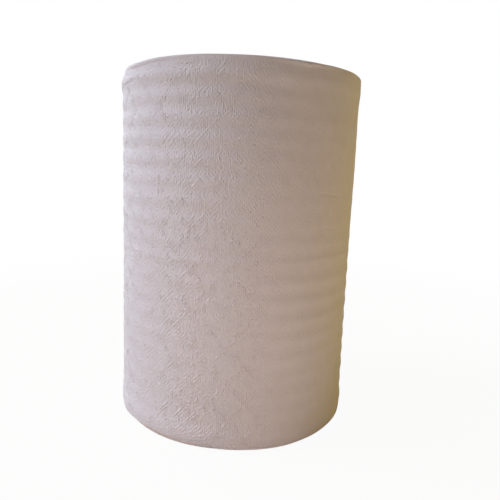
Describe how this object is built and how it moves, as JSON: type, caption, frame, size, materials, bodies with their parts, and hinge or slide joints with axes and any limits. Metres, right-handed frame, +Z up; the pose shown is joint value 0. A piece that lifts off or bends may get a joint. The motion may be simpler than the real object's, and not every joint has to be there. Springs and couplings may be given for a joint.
{
  "type": "paper towel roll",
  "caption": "Roll of white embossed paper towel wound on a cardboard tube, standing on its end, for a holder rod or dispenser.",
  "frame": {"origin": "on the core's axis at the lower end of the roll", "axes": "+Z up the core's axis, which is also the roll's longest extent; -Y is the side that the picture shows"},
  "size_m": [0.1603, 0.16, 0.23],
  "materials": {
    "towel_paper": "matte creped and embossed tissue",
    "core_cardboard": "matte grey-brown spiral-wound cardboard"
  },
  "bodies": {
    "root": {"paper_roll": "towel_paper", "core_tube": "core_cardboard"}
  },
  "joints": []
}
